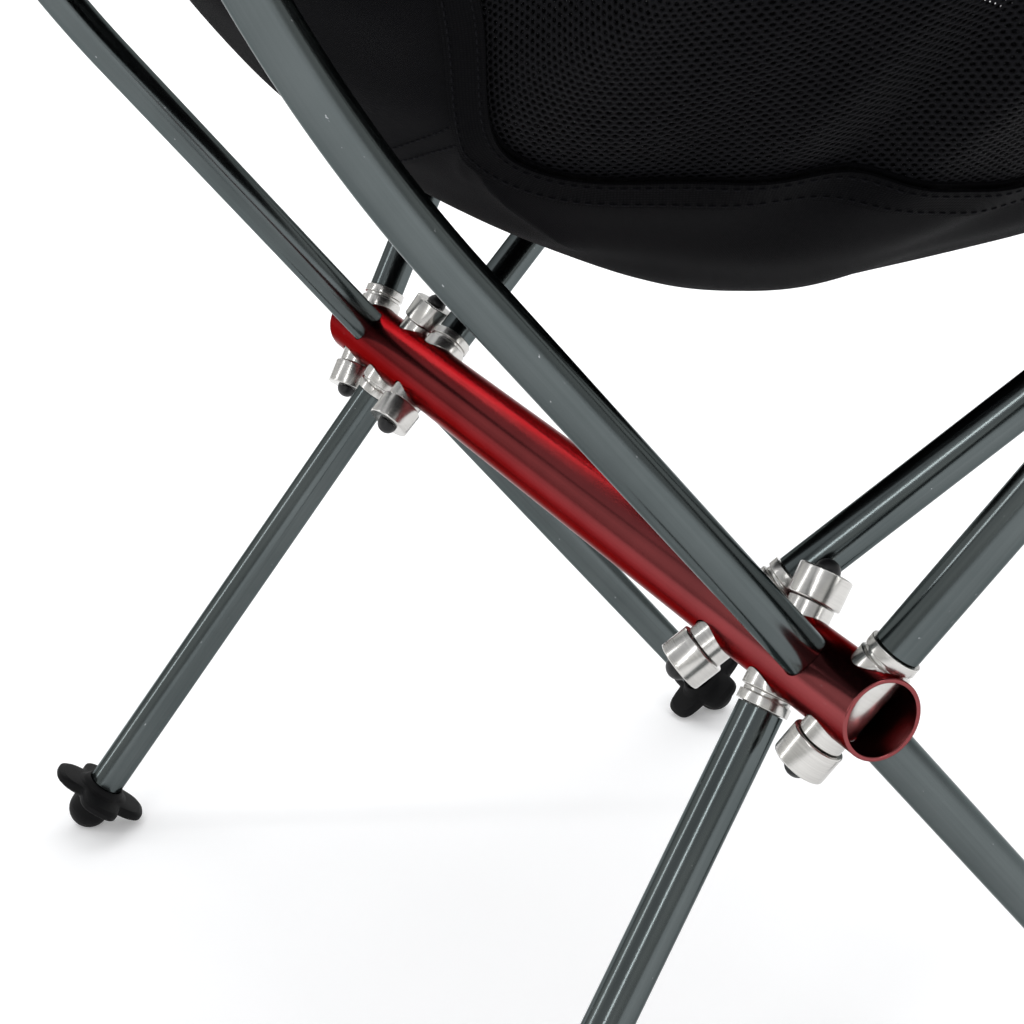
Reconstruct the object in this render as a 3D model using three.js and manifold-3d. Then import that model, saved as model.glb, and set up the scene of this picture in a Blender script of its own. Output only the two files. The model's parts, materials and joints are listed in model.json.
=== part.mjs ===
// Ultralight backpacking chair: a shock-corded pole frame on one cross hub, carrying a sling seat.
// Millimetres, +Z up. The sitter faces -Y, so +X is the sitter's left. The feet stand on z = 0.
import * as THREE from 'three';
import { mergeVertices } from 'three/addons/utils/BufferGeometryUtils.js';
import Module from 'manifold-3d';

const wasm = await Module();
wasm.setup();

// ---------- driving dimensions ----------
const clearance = 0.3;           // gap kept between touching pieces
const roundSides = 12;
const cordSides = 8;
const hubSides = 20;
const bendSteps = 12;
const overcut = 4;               // how far a cutter sticks out past what it cuts

const hub = { length: 375, outerRadius: 11.25, wall: 1.25, axisHeight: 184.6 };
const pole = { outerRadius: 6.5, innerRadius: 5.7 };

// Distance of each pole's crossing from the middle of the hub, and its upward direction on
// the left side.
const crossings = {
  seatPole: { offset: 117.3, up: [0.2453, -0.7350, 0.6322] },
  rearLeg: { offset: 141.6, up: [-0.1564, -0.5509, 0.8198] },
  mainPole: { offset: 159.6, up: [-0.0366, 0.6477, 0.7610] },
  sidePole: { offset: 174.2, up: [0.2689, -0.5104, 0.8168] },
};

// Turned spool that carries a pole. Its round sleeve goes right through the hub, and its tail
// holds the cap. Distances run along the pole's axis from the hub's axis.
const spool = {
  tailRadius: 4, tailEnd: 18.6, sleeveRadius: 6.5, sleeveEnd: 13.9, boreRadius: 1.9,
  flangeRadius: 7.75, flangeEnd: 12.9, waistRadius: 6.5, waistEnd: 14.4,
  ringRadius: 7.4, ringEnd: 17.0, step: 0.3, spigotRadius: 5.4, spigotEnd: 37, lead: 1,
};
const poleStart = spool.ringEnd + clearance;
const cap = { radius: 7.6, start: 14.2, end: 23, edge: 1.2 };
const cord = {
  radius: 1.25, beadRadius: 3.5, beadHeight: 3.3, reach: 150, knotRadius: 2.6, knotLength: 6,
};

const throughSpigot = { radius: 5.4, legEnd: 22, backEnd: 14 };
const seatPoleLength = 276;
const sidePoleLength = 300;
const backPole = {
  straight: 150, bendRadius: 405, bendAngle: THREE.MathUtils.degToRad(22),
  lowerTop: 30, upperLength: 185, splay: 0.3,
};
const jointPlug = { radius: 5.4, length: 22, stopRadius: 6.9, stopThickness: 1.6, seat: 30 };
const tip = { radius: 7, plugRadius: 5.4, plugLength: 14, straight: 2, dome: 4.5 };
const foot = {
  discHeight: 13.3, petalMean: 15, petalSwing: 3.2, petals: 4, outlineSteps: 32, thickness: 3.6,
  neckRadius: 8.4, neckLength: 3.8, socketDepth: 13, heelRadius: 7.7, heelLength: 15.5,
};

const groundBlock = [900, 900, 40]; // stands for the ground, to cut the feet flat

// Sling: control points that bow its left edges, and the profile of its centre line as [y, z].
const sling = {
  thickness: 1.8, crossPower: 1.8, panelGap: 0.005, wingShare: 0.14,
  frontBow: [200, -180, 385], sideBow: [190, 68, 407],
  profile: [
    [-190, 301], [-160, 265], [-110, 249.5], [-55, 242.5], [0, 257.5],
    [45, 282], [98, 326], [143, 396], [180, 481], [208, 586],
  ],
  stripHalfWidth: 112,           // centre strip, measured across from the centre line
  seatBackSplit: 0.47,           // where the bottom panel meets the back panel along the sling
};
const pocket = {
  width: 26, thickness: 1.6, below: 36, above: 28, offset: 9.6, slingDrop: 12, slingGap: 6,
};
const sitterSpot = [0, -20, 300]; // point inside the sling that the pockets face

// ---------- materials ----------
const anodised = (color, roughness) => new THREE.MeshStandardMaterial({ color, roughness, metalness: 0.9 });
const redAnodised = anodised(0x8a1620, 0.3);
const gunmetal = anodised(0x565d60, 0.32);
const turnedSilver = anodised(0xc9cacc, 0.25);
const soft = (color, roughness) => new THREE.MeshStandardMaterial({ color, roughness, metalness: 0 });
const blackRubber = soft(0x17181a, 0.75);
const blackPlastic = soft(0x121314, 0.5);
const cordBlack = soft(0x1b1c1f, 0.9);
const wovenBlack = soft(0x16171b, 0.85);
const meshBlack = soft(0x1c1d21, 0.9);

// ---------- solids ----------
function toSolid(geometry) {
  const bare = geometry.clone();
  bare.deleteAttribute('normal');
  bare.deleteAttribute('uv');
  const merged = mergeVertices(bare, 1e-4);
  const index = new Uint32Array(merged.index.array);
  return new wasm.Manifold(new wasm.Mesh({
    numProp: 3, vertProperties: new Float32Array(merged.attributes.position.array), triVerts: index,
  }));
}

function toGeometry(solid) {
  const mesh = solid.getMesh();
  const geometry = new THREE.BufferGeometry();
  geometry.setAttribute('position', new THREE.BufferAttribute(mesh.vertProperties, 3));
  geometry.setIndex(new THREE.BufferAttribute(mesh.triVerts, 1));
  return geometry;
}

// Turned solid about +Z from [radius, z] points, listed so that its faces point outwards.
function turned(points, sidesCount = roundSides) {
  const outline = points.map(([radius, z]) => new THREE.Vector2(radius, z));
  return new THREE.LatheGeometry(outline, sidesCount).rotateX(Math.PI / 2);
}

// Turned solid with a bore right through it: the outline goes up the outside and down the bore.
function turnedRing(outside, boreRadius) {
  const low = outside[0][1];
  const high = outside[outside.length - 1][1];
  return turned([[boreRadius, low], ...outside, [boreRadius, high], [boreRadius, low]]);
}

const rod = (radius, low, high, sidesCount) => turned(
  [[0, low], [radius, low], [radius, high], [0, high]], sidesCount,
);

// Outline of a dome of the given radius and height, from its rim at z = start to its pole on the axis.
function quarterRound(radius, start, height, steps = 4) {
  const points = [];
  for (let step = 0; step < steps; step += 1) {
    const angle = (step / steps) * (Math.PI / 2);
    points.push([radius * Math.cos(angle), start + height * Math.sin(angle)]);
  }
  return [...points, [0, start + height]];
}

// ---------- placement ----------
const sides = [{ name: 'right', sign: -1 }, { name: 'left', sign: 1 }];

function crossingOf(kind, side) {
  const { offset, up } = crossings[kind];
  return {
    origin: new THREE.Vector3(side.sign * offset, 0, hub.axisHeight),
    up: new THREE.Vector3(side.sign * up[0], up[1], up[2]).normalize(),
  };
}

// Matrix that stands a piece made along +Z on the hub's axis, pointing along direction.
function placement(origin, direction) {
  const turn = new THREE.Quaternion().setFromUnitVectors(new THREE.Vector3(0, 0, 1), direction);
  return new THREE.Matrix4().compose(origin, turn, new THREE.Vector3(1, 1, 1));
}

const chair = new THREE.Group();

function addPiece(name, geometry, material, matrix = new THREE.Matrix4()) {
  const mesh = new THREE.Mesh(geometry, material);
  mesh.name = name;
  matrix.decompose(mesh.position, mesh.quaternion, mesh.scale);
  chair.add(mesh);
}

// ---------- hub ----------
function hubCylinder(radius, length) {
  const lying = rod(radius, -length / 2, length / 2, hubSides).rotateY(Math.PI / 2);
  return lying.translate(0, 0, hub.axisHeight);
}

function makeHubTube() {
  const bore = hub.outerRadius - hub.wall;
  const outside = toSolid(hubCylinder(hub.outerRadius, hub.length));
  let tube = outside.subtract(toSolid(hubCylinder(bore, hub.length + overcut)));
  for (const side of sides) {
    for (const kind of Object.keys(crossings)) {
      const { origin, up } = crossingOf(kind, side);
      const passing = kind === 'mainPole' ? pole.outerRadius : spool.sleeveRadius;
      const drill = rod(passing + clearance, -2 * hub.outerRadius, 2 * hub.outerRadius);
      drill.applyMatrix4(placement(origin, up));
      tube = tube.subtract(toSolid(drill));
    }
  }
  return toGeometry(tube);
}

// Hub cylinder seen in a piece's own frame, for cutting the saddle that sits on the hub.
function saddleCutter(matrix) {
  const cutter = hubCylinder(hub.outerRadius + clearance, hub.length + overcut);
  return toSolid(cutter.applyMatrix4(matrix.clone().invert()));
}

// ---------- pole hardware ----------
function makeSpool(matrix) {
  const { flangeRadius, flangeEnd, waistRadius, waistEnd, ringRadius, ringEnd, step } = spool;
  const { spigotRadius, spigotEnd, lead, tailRadius, tailEnd, sleeveRadius, sleeveEnd } = spool;
  const collar = turnedRing([
    [flangeRadius, 0], [flangeRadius, flangeEnd], [waistRadius, flangeEnd + step],
    [waistRadius, waistEnd], [ringRadius, waistEnd + step], [ringRadius, ringEnd],
    [spigotRadius, ringEnd], [spigotRadius, spigotEnd - lead], [spigotRadius - lead, spigotEnd],
  ], spool.boreRadius);
  const sleeve = turnedRing([
    [tailRadius, -tailEnd], [tailRadius, -sleeveEnd], [sleeveRadius, -sleeveEnd],
    [sleeveRadius, flangeEnd],
  ], spool.boreRadius);
  return toGeometry(toSolid(collar).subtract(saddleCutter(matrix)).add(toSolid(sleeve)));
}

function makeCap() {
  const outside = turnedRing([
    [cap.radius - cap.edge, -cap.end], [cap.radius, -cap.end + cap.edge], [cap.radius, -cap.start],
  ], spool.boreRadius);
  const socket = rod(spool.tailRadius + clearance, -spool.tailEnd - clearance, 0);
  return toGeometry(toSolid(outside).subtract(toSolid(socket)));
}

// The cord's last stretch inside a pole, with the knot that anchors it.
const knottedEnd = [
  [cord.radius, cord.reach], [cord.knotRadius, cord.reach + 1],
  [cord.knotRadius, cord.reach + cord.knotLength - 1], [0, cord.reach + cord.knotLength],
];

function makeCord() {
  const beadStart = -cap.end - clearance;
  return turned([
    [0, beadStart - cord.beadHeight], [cord.beadRadius * 0.7, beadStart - cord.beadHeight * 0.75],
    [cord.beadRadius, beadStart], [cord.radius, beadStart], ...knottedEnd,
  ], cordSides);
}

const tubeBetween = (low, high) => turnedRing(
  [[pole.outerRadius, low], [pole.outerRadius, high]], pole.innerRadius,
);

// Plug and rounded end that closes a pole; the pole ends at poleEnd.
function makeTip(poleEnd) {
  const domeStart = poleEnd + clearance + tip.straight;
  return turned([
    [0, poleEnd - tip.plugLength], [tip.plugRadius, poleEnd - tip.plugLength],
    [tip.plugRadius, poleEnd + clearance], [tip.radius, poleEnd + clearance],
    ...quarterRound(tip.radius, domeStart, tip.dome),
  ]);
}

// Clover foot: short neck, lobed disc square to the leg, and a rounded heel cut flat by the ground.
function makeFoot(discDistance, matrix, down) {
  const heading = Math.atan2(down.y, down.x);
  const lobes = new THREE.Shape();
  for (let step = 0; step < foot.outlineSteps; step += 1) {
    const angle = (step / foot.outlineSteps) * 2 * Math.PI;
    const radius = foot.petalMean + foot.petalSwing * Math.cos(foot.petals * angle);
    const point = [radius * Math.cos(angle + heading), radius * Math.sin(angle + heading)];
    if (step === 0) lobes.moveTo(...point);
    else lobes.lineTo(...point);
  }
  const disc = new THREE.ExtrudeGeometry(lobes, {
    depth: foot.thickness, bevelEnabled: false, steps: 1,
  });
  disc.translate(0, 0, discDistance - foot.thickness / 2);
  const neckStart = discDistance - foot.thickness / 2 - foot.neckLength;
  const roundStart = discDistance + foot.heelLength - foot.heelRadius;
  const heel = quarterRound(foot.heelRadius, roundStart, foot.heelRadius);
  const core = turned([
    [0, neckStart], [foot.neckRadius, neckStart], [foot.neckRadius, discDistance], ...heel,
  ]);
  const socketEnd = neckStart + foot.socketDepth;
  const socket = rod(pole.outerRadius + clearance, neckStart - overcut, socketEnd);
  const ground = new THREE.BoxGeometry(...groundBlock).translate(0, 0, -groundBlock[2] / 2);
  ground.applyMatrix4(matrix.clone().invert());
  const whole = toSolid(disc).add(toSolid(core));
  return toGeometry(whole.subtract(toSolid(socket)).subtract(toSolid(ground)));
}

// Distance along a leg from the hub's axis to its foot's disc.
const footDistance = (down) => (hub.axisHeight - foot.discHeight) / -down.z;
const legInFoot = foot.socketDepth - clearance - foot.thickness / 2 - foot.neckLength;
const legEnd = (discDistance) => discDistance + legInFoot;

function addSpoolSet(prefix, side, kind, outward) {
  const { origin } = crossingOf(kind, side);
  const matrix = placement(origin, outward);
  addPiece(`${prefix}_spool_${side.name}`, makeSpool(matrix), turnedSilver, matrix);
  addPiece(`${prefix}_cap_${side.name}`, makeCap(), turnedSilver, matrix);
  addPiece(`${prefix}_cord_${side.name}`, makeCord(), cordBlack, matrix);
  return matrix;
}

function addRearLeg(side) {
  const down = crossingOf('rearLeg', side).up.negate();
  const matrix = addSpoolSet('rear_leg', side, 'rearLeg', down);
  const disc = footDistance(down);
  addPiece(`rear_leg_${side.name}`, tubeBetween(poleStart, legEnd(disc)), gunmetal, matrix);
  addPiece(`rear_foot_${side.name}`, makeFoot(disc, matrix, down), blackRubber, matrix);
}

function addUpperPole(prefix, side, kind, length) {
  const { up } = crossingOf(kind, side);
  const matrix = addSpoolSet(prefix, side, kind, up);
  addPiece(`${prefix}_${side.name}`, tubeBetween(poleStart, length), gunmetal, matrix);
  addPiece(`${prefix}_tip_${side.name}`, makeTip(length), blackPlastic, matrix);
}

// ---------- back pole and front leg ----------
// Centre line of the bent back pole: straight, then an arc that steepens it, then straight again.
function backPoleFrame(side) {
  const { origin, up } = crossingOf('mainPole', side);
  const start = origin.clone().addScaledVector(up, backPole.straight);
  const normal = new THREE.Vector3(side.sign * backPole.splay, -up.z, up.y);
  normal.addScaledVector(up, -normal.dot(up)).normalize();
  const pointAt = (angle) => start.clone()
    .addScaledVector(up, backPole.bendRadius * Math.sin(angle))
    .addScaledVector(normal, backPole.bendRadius * (1 - Math.cos(angle)));
  const upperUp = up.clone().multiplyScalar(Math.cos(backPole.bendAngle))
    .addScaledVector(normal, Math.sin(backPole.bendAngle));
  return { origin, up, pointAt, upperUp, bendEnd: pointAt(backPole.bendAngle) };
}

class PolePath extends THREE.Curve {
  constructor(frame, low) {
    super();
    this.frame = frame;
    this.low = low;
    this.firstLength = backPole.straight - low;
    this.arcLength = backPole.bendRadius * backPole.bendAngle;
    this.total = this.firstLength + this.arcLength + backPole.lowerTop;
  }

  getPoint(t) {
    const distance = t * this.total;
    const { origin, up, pointAt, bendEnd, upperUp } = this.frame;
    if (distance < this.firstLength) return origin.clone().addScaledVector(up, this.low + distance);
    const past = distance - this.firstLength;
    if (past < this.arcLength) return pointAt(past / backPole.bendRadius);
    return bendEnd.clone().addScaledVector(upperUp, past - this.arcLength);
  }
}

function circlePath(path, radius, sidesCount = roundSides) {
  for (let step = 0; step < sidesCount; step += 1) {
    const angle = (step / sidesCount) * 2 * Math.PI;
    const point = [radius * Math.cos(angle), radius * Math.sin(angle)];
    if (step === 0) path.moveTo(...point);
    else path.lineTo(...point);
  }
  return path;
}

function addMainPole(side) {
  const frame = backPoleFrame(side);
  const section = circlePath(new THREE.Shape(), pole.outerRadius);
  section.holes.push(circlePath(new THREE.Path(), pole.innerRadius));
  const path = new PolePath(frame, clearance);
  const bent = new THREE.ExtrudeGeometry(section, {
    steps: bendSteps, bevelEnabled: false, extrudePath: path,
  });
  addPiece(`back_pole_lower_${side.name}`, bent, gunmetal);

  // Plug fixed in the lower pole's mouth, with a stop collar that the upper pole lands on.
  const upperMatrix = backUpperMatrix(side);
  const plug = jointPlug;
  const stopTop = clearance + plug.stopThickness;
  addPiece(`back_pole_joint_${side.name}`, turnedRing([
    [plug.radius, -plug.seat], [plug.radius, clearance], [plug.stopRadius, clearance],
    [plug.stopRadius, stopTop], [plug.radius, stopTop],
    [plug.radius, plug.length - spool.lead], [plug.radius - spool.lead, plug.length],
  ], spool.boreRadius), turnedSilver, upperMatrix);
  const upper = tubeBetween(stopTop + clearance, backPole.upperLength);
  addPiece(`back_pole_upper_${side.name}`, upper, gunmetal, upperMatrix);
  addPiece(`back_pole_tip_${side.name}`, makeTip(backPole.upperLength), blackPlastic, upperMatrix);

  const down = frame.up.clone().negate();
  const legMatrix = placement(frame.origin, down);
  const { radius, legEnd: legSide, backEnd } = throughSpigot;
  addPiece(`main_spigot_${side.name}`, turnedRing([
    [radius - spool.lead, -backEnd], [radius, spool.lead - backEnd],
    [radius, legSide - spool.lead], [radius - spool.lead, legSide],
  ], spool.boreRadius), turnedSilver, legMatrix);
  addPiece(`main_cord_${side.name}`, turned([
    [0, -cord.reach], [cord.radius, -cord.reach], ...knottedEnd,
  ], cordSides), cordBlack, legMatrix);
  const disc = footDistance(down);
  addPiece(`front_leg_${side.name}`, tubeBetween(clearance, legEnd(disc)), gunmetal, legMatrix);
  addPiece(`front_foot_${side.name}`, makeFoot(disc, legMatrix, down), blackRubber, legMatrix);
}

// ---------- sling seat ----------
const vector = (values) => new THREE.Vector3(...values);
const leftSide = sides[1];

// Frame of a pocket at a pole's tip: the pole's direction, and the way across to the sitter's side.
function pocketFrame(matrix, poleEnd) {
  const direction = new THREE.Vector3(0, 0, 1).transformDirection(matrix);
  const end = new THREE.Vector3(0, 0, poleEnd).applyMatrix4(matrix);
  const inward = vector(sitterSpot).sub(end);
  inward.addScaledVector(direction, -inward.dot(direction)).normalize();
  return { direction, end, inward };
}

// The sling's corner lies just inside its pocket.
function slingCorner({ direction, end, inward }) {
  const offset = pocket.offset + pocket.thickness + pocket.slingGap;
  const corner = end.clone().addScaledVector(inward, offset);
  return corner.addScaledVector(direction, -pocket.slingDrop);
}

function upperPoleMatrix(kind, side) {
  const { origin, up } = crossingOf(kind, side);
  return placement(origin, up);
}

function backUpperMatrix(side) {
  const { bendEnd, upperUp } = backPoleFrame(side);
  return placement(bendEnd.clone().addScaledVector(upperUp, backPole.lowerTop), upperUp);
}

const pockets = [
  {
    name: 'front_pocket',
    matrixOf: (side) => upperPoleMatrix('seatPole', side),
    poleEnd: seatPoleLength,
  },
  {
    name: 'side_pocket',
    matrixOf: (side) => upperPoleMatrix('sidePole', side),
    poleEnd: sidePoleLength,
  },
  { name: 'back_pocket', matrixOf: backUpperMatrix, poleEnd: backPole.upperLength },
];
const [frontCorner, sideCorner, backCorner] = pockets.map(
  ({ matrixOf, poleEnd }) => slingCorner(pocketFrame(matrixOf(leftSide), poleEnd)),
);

const profileCurve = new THREE.CatmullRomCurve3(
  sling.profile.map(([y, z]) => new THREE.Vector3(0, y, z)), false, 'catmullrom', 0.5,
);
const frontEdge = new THREE.QuadraticBezierCurve3(frontCorner, vector(sling.frontBow), sideCorner);
const sideEdge = new THREE.QuadraticBezierCurve3(sideCorner, vector(sling.sideBow), backCorner);

function edgePoint(along) {
  if (along < sling.wingShare) return frontEdge.getPoint(along / sling.wingShare);
  return sideEdge.getPoint((along - sling.wingShare) / (1 - sling.wingShare));
}

// Point of the sling: across runs -1 to 1 from edge to edge, along runs 0 to 1 from front to top.
function slingPoint(across, along) {
  const centre = profileCurve.getPointAt(along);
  const edge = edgePoint(along);
  const lift = Math.abs(across) ** sling.crossPower;
  return new THREE.Vector3(
    edge.x * across,
    centre.y + (edge.y - centre.y) * lift,
    centre.z + (edge.z - centre.z) * lift,
  );
}

function slingNormal(across, along) {
  const step = 1e-3;
  const alongLow = Math.max(0, along - step);
  const alongHigh = Math.min(1, along + step);
  const sideways = slingPoint(across + step, along).sub(slingPoint(across - step, along));
  const lengthwise = slingPoint(across, alongHigh).sub(slingPoint(across, alongLow));
  return sideways.cross(lengthwise).normalize();
}

// Closed slab of the sling between two across limits (functions of along) and two along limits.
function makePanel(acrossLow, acrossHigh, alongLow, alongHigh, cellsAcross, cellsAlong) {
  const positions = [];
  const index = [];
  const columns = cellsAcross + 1;
  const rows = cellsAlong + 1;
  for (const layer of [1, -1]) {
    for (let row = 0; row < rows; row += 1) {
      const along = alongLow + (alongHigh - alongLow) * (row / cellsAlong);
      for (let column = 0; column < columns; column += 1) {
        const low = acrossLow(along);
        const across = low + (acrossHigh(along) - low) * (column / cellsAcross);
        const point = slingPoint(across, along);
        point.addScaledVector(slingNormal(across, along), (layer * sling.thickness) / 2);
        positions.push(point.x, point.y, point.z);
      }
    }
  }
  const lower = rows * columns;
  const quad = (a, b, c, d) => index.push(a, b, c, a, c, d);
  for (let row = 0; row < cellsAlong; row += 1) {
    for (let column = 0; column < cellsAcross; column += 1) {
      const corner = row * columns + column;
      quad(corner, corner + 1, corner + columns + 1, corner + columns);
      quad(lower + corner, lower + corner + columns, lower + corner + columns + 1, lower + corner + 1);
    }
  }
  for (let column = 0; column < cellsAcross; column += 1) {
    const far = cellsAlong * columns + column;
    quad(column, lower + column, lower + column + 1, column + 1);
    quad(far, far + 1, lower + far + 1, lower + far);
  }
  for (let row = 0; row < cellsAlong; row += 1) {
    const near = row * columns;
    const far = near + cellsAcross;
    quad(near, near + columns, lower + near + columns, lower + near);
    quad(far, lower + far, lower + far + columns, far + columns);
  }
  const geometry = new THREE.BufferGeometry();
  geometry.setAttribute('position', new THREE.Float32BufferAttribute(positions, 3));
  geometry.setIndex(index);
  return geometry;
}

function addSling() {
  const strip = (along) => sling.stripHalfWidth / edgePoint(along).x;
  const gap = sling.panelGap;
  const split = sling.seatBackSplit;
  const stripLow = (along) => -strip(along);
  addPiece('seat_panel', makePanel(stripLow, strip, 0, split - gap / 2, 8, 12), wovenBlack);
  addPiece('back_panel', makePanel(stripLow, strip, split + gap / 2, 1, 8, 12), wovenBlack);
  const innerEdge = (along) => strip(along) + gap;
  addPiece('wing_left', makePanel(innerEdge, () => 1, 0, 1, 4, 24), meshBlack);
  addPiece('wing_right', makePanel(() => -1, (along) => -innerEdge(along), 0, 1, 4, 24), meshBlack);
}

// Corner patch that holds a pole's tip: a strip along the pole, on the side that faces the sitter.
function addPocket(name, matrix, poleEnd) {
  const { direction, end, inward } = pocketFrame(matrix, poleEnd);
  const sideways = new THREE.Vector3().crossVectors(inward, direction);
  const patch = new THREE.BoxGeometry(pocket.width, pocket.thickness, pocket.below + pocket.above);
  patch.translate(0, pocket.offset + pocket.thickness / 2, (pocket.above - pocket.below) / 2);
  const basis = new THREE.Matrix4().makeBasis(sideways, inward, direction);
  addPiece(name, patch, wovenBlack, basis.setPosition(end));
}

// ---------- assembly ----------
addPiece('hub_tube', makeHubTube(), redAnodised);
for (const side of sides) {
  addRearLeg(side);
  addUpperPole('side_pole', side, 'sidePole', sidePoleLength);
  addUpperPole('seat_pole', side, 'seatPole', seatPoleLength);
  addMainPole(side);
  for (const { name, matrixOf, poleEnd } of pockets) {
    addPocket(`${name}_${side.name}`, matrixOf(side), poleEnd);
  }
}
addSling();

// The origin is on the ground, below the middle of the chair's bounding box.
chair.updateMatrixWorld(true);
const bounds = new THREE.Box3().setFromObject(chair, true);
chair.position.y = -(bounds.min.y + bounds.max.y) / 2;
chair.updateMatrixWorld(true);

export default chair;
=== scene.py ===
"""Looks of the ultralight backpacking chair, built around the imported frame.

Metres, +Z up, and the sitter faces -Y. Sizes named in millimetres are turned into metres with MM.
"""
import json
import math

import bpy
import numpy as np
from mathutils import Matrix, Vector


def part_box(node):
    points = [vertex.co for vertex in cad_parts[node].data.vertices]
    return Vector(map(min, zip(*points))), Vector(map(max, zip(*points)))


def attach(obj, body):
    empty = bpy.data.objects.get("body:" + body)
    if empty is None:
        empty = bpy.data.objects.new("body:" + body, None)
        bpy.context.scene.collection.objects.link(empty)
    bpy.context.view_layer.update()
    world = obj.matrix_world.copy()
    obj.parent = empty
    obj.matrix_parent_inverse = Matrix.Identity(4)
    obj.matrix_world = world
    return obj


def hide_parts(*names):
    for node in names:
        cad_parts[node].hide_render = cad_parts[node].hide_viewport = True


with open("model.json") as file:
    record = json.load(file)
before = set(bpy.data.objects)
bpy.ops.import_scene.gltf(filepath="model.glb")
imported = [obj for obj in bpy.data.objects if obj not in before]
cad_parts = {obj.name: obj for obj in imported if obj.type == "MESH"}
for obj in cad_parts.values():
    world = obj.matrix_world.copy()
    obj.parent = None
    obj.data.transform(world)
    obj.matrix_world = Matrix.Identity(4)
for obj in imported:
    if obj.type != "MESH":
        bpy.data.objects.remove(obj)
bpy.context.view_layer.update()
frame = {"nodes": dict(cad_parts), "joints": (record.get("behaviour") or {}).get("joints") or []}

MM = 0.001
SIDES = (("right", -1), ("left", 1))
ROUND = 96                      # facets round a turned piece

# ---------- sizes in millimetres, measured from the hub's or a pole's axis ----------
HUB_RADIUS, HUB_WALL = 11.25, 1.25
POLE_RADIUS, POLE_WALL = 6.5, 0.8
POLE_EDGE = 0.18                # eased outer rim of a cut tube
BEND_RADIUS = 405               # of the back pole
SLEEVE_RADIUS = 6.5             # round body of a spool, where it passes through the hub
HOLE_GAP = 0.45                 # shows as a dark crescent round each sleeve
TAIL_RADIUS, TAIL_END = 4.0, -18.6
SLEEVE_END = -13.9              # the cap starts just past it
FLANGE_RADIUS, FLANGE_LOW, FLANGE_HIGH = 7.75, 9.5, 12.7
STOP_RADIUS, STOP_LOW, STOP_END = 7.45, 14.3, 17.0
SPIGOT_RADIUS, SPIGOT_TIP, SPIGOT_END = 5.4, 4.6, 37.0
CAP_RADIUS, CAP_START, CAP_END = 7.65, -14.2, -23.0
CORD_RADIUS, CORD_BORE, KNOT_RADIUS = 1.25, 1.9, 2.6
BEAD_RADIUS, BEAD_HEIGHT = 3.6, 3.4
TIP_RADIUS, TIP_DEPTH = 7.0, 14
LOBES, LOBE_OUT, LOBE_IN = 4, 18.6, 12.0
DISC_FROM_POLE_END = 7.1        # the foot's clover disc sits this far up the leg


# ---------- placement from the frame ----------
def joint_axis(name):
    found = next(j for j in frame["joints"] if j["name"] == name)
    return Vector(found["axis"]).normalized()


def span(node, origin, axis):
    """Lowest and highest distance of a node's points along an axis, in millimetres."""
    points = np.array([v.co for v in frame["nodes"][node].data.vertices], float)
    along = (points - np.array(origin)) @ np.array(axis)
    return along.min() / MM, along.max() / MM


hub_low, hub_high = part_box("hub_tube")
hub_centre = (hub_low + hub_high) / 2
hub_half = (hub_high.x - hub_low.x) / 2 / MM


def pole_line(pole, side):
    """Where a straight pole's axis crosses the plane through the hub's axis, and its direction."""
    axis = joint_axis(f"{pole}_pull_{side}")
    low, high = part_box(f"front_leg_{side}" if pole == "back_lower" else f"{pole}_{side}")
    centre = (low + high) / 2
    return centre - axis * ((centre.y - hub_centre.y) / axis.y), axis


def turn_to(axis):
    """Rotation that takes +Z to axis."""
    return Vector((0, 0, 1)).rotation_difference(axis).to_matrix()


# ---------- mesh building ----------
def make_object(name, verts, faces, uvs=None, smooth=True, sharp_deg=35):
    """Mesh object from points in metres. uvs holds one (u, v) in metres for each corner of each face."""
    mesh = bpy.data.meshes.new(name)
    mesh.from_pydata([tuple(v) for v in verts], [], faces)
    if uvs is not None:
        layer = mesh.uv_layers.new(name="UVMap")
        layer.data.foreach_set("uv", np.array(uvs, np.float32).ravel())
    mesh.validate()
    mesh.update()
    if smooth:
        mesh.polygons.foreach_set("use_smooth", [True] * len(mesh.polygons))
        mesh.set_sharp_from_angle(angle=math.radians(sharp_deg))
    obj = bpy.data.objects.new(name, mesh)
    bpy.context.scene.collection.objects.link(obj)
    return obj


def filleted(points, radius, steps=4, closed=False):
    """The outline with each corner rounded, up to the radius that its neighbours leave room for."""
    pts = [Vector(p) for p in points]
    count = len(pts)
    out = []
    for i, p in enumerate(pts):
        if not closed and i in (0, count - 1):
            out.append(p)
            continue
        a, b = pts[i - 1], pts[(i + 1) % count]
        da, db = (a - p), (b - p)
        angle = da.angle(db, math.pi)
        if angle > math.radians(172):
            out.append(p)
            continue
        room = min(da.length, db.length) * 0.45
        cut = min(radius / math.tan(angle / 2), room)
        start, end = p + da.normalized() * cut, p + db.normalized() * cut
        for k in range(steps + 1):
            t = k / steps
            out.append(start * (1 - t) ** 2 + p * (2 * t * (1 - t)) + end * t ** 2)
    return [(v.x, v.y) for v in out]


def hub_reach(radius, ray, axis):
    """Distance along axis at which a line at this radius, towards ray, leaves the hub's surface."""
    a, u = axis.yz, ray.yz
    dot = radius * a.dot(u)
    room = dot * dot - a.length_squared * ((radius * u.length) ** 2 - HUB_RADIUS ** 2)
    return (math.sqrt(room) - dot) / a.length_squared


def hub_saddle(axis):
    """Shape for a spool: the flange's low face follows the hub, and what lies past it stays put."""
    low, high = FLANGE_LOW, FLANGE_HIGH - 0.3

    def shape(radius, along, ray, _):
        if radius <= SLEEVE_RADIUS + 0.05 or not 0 < along < high:
            return radius, along
        seat = min(hub_reach(radius, ray, axis) + 0.1, high - 0.05)
        return radius, along + (seat - low) * min(1.0, (high - along) / (high - low))

    return shape


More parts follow.
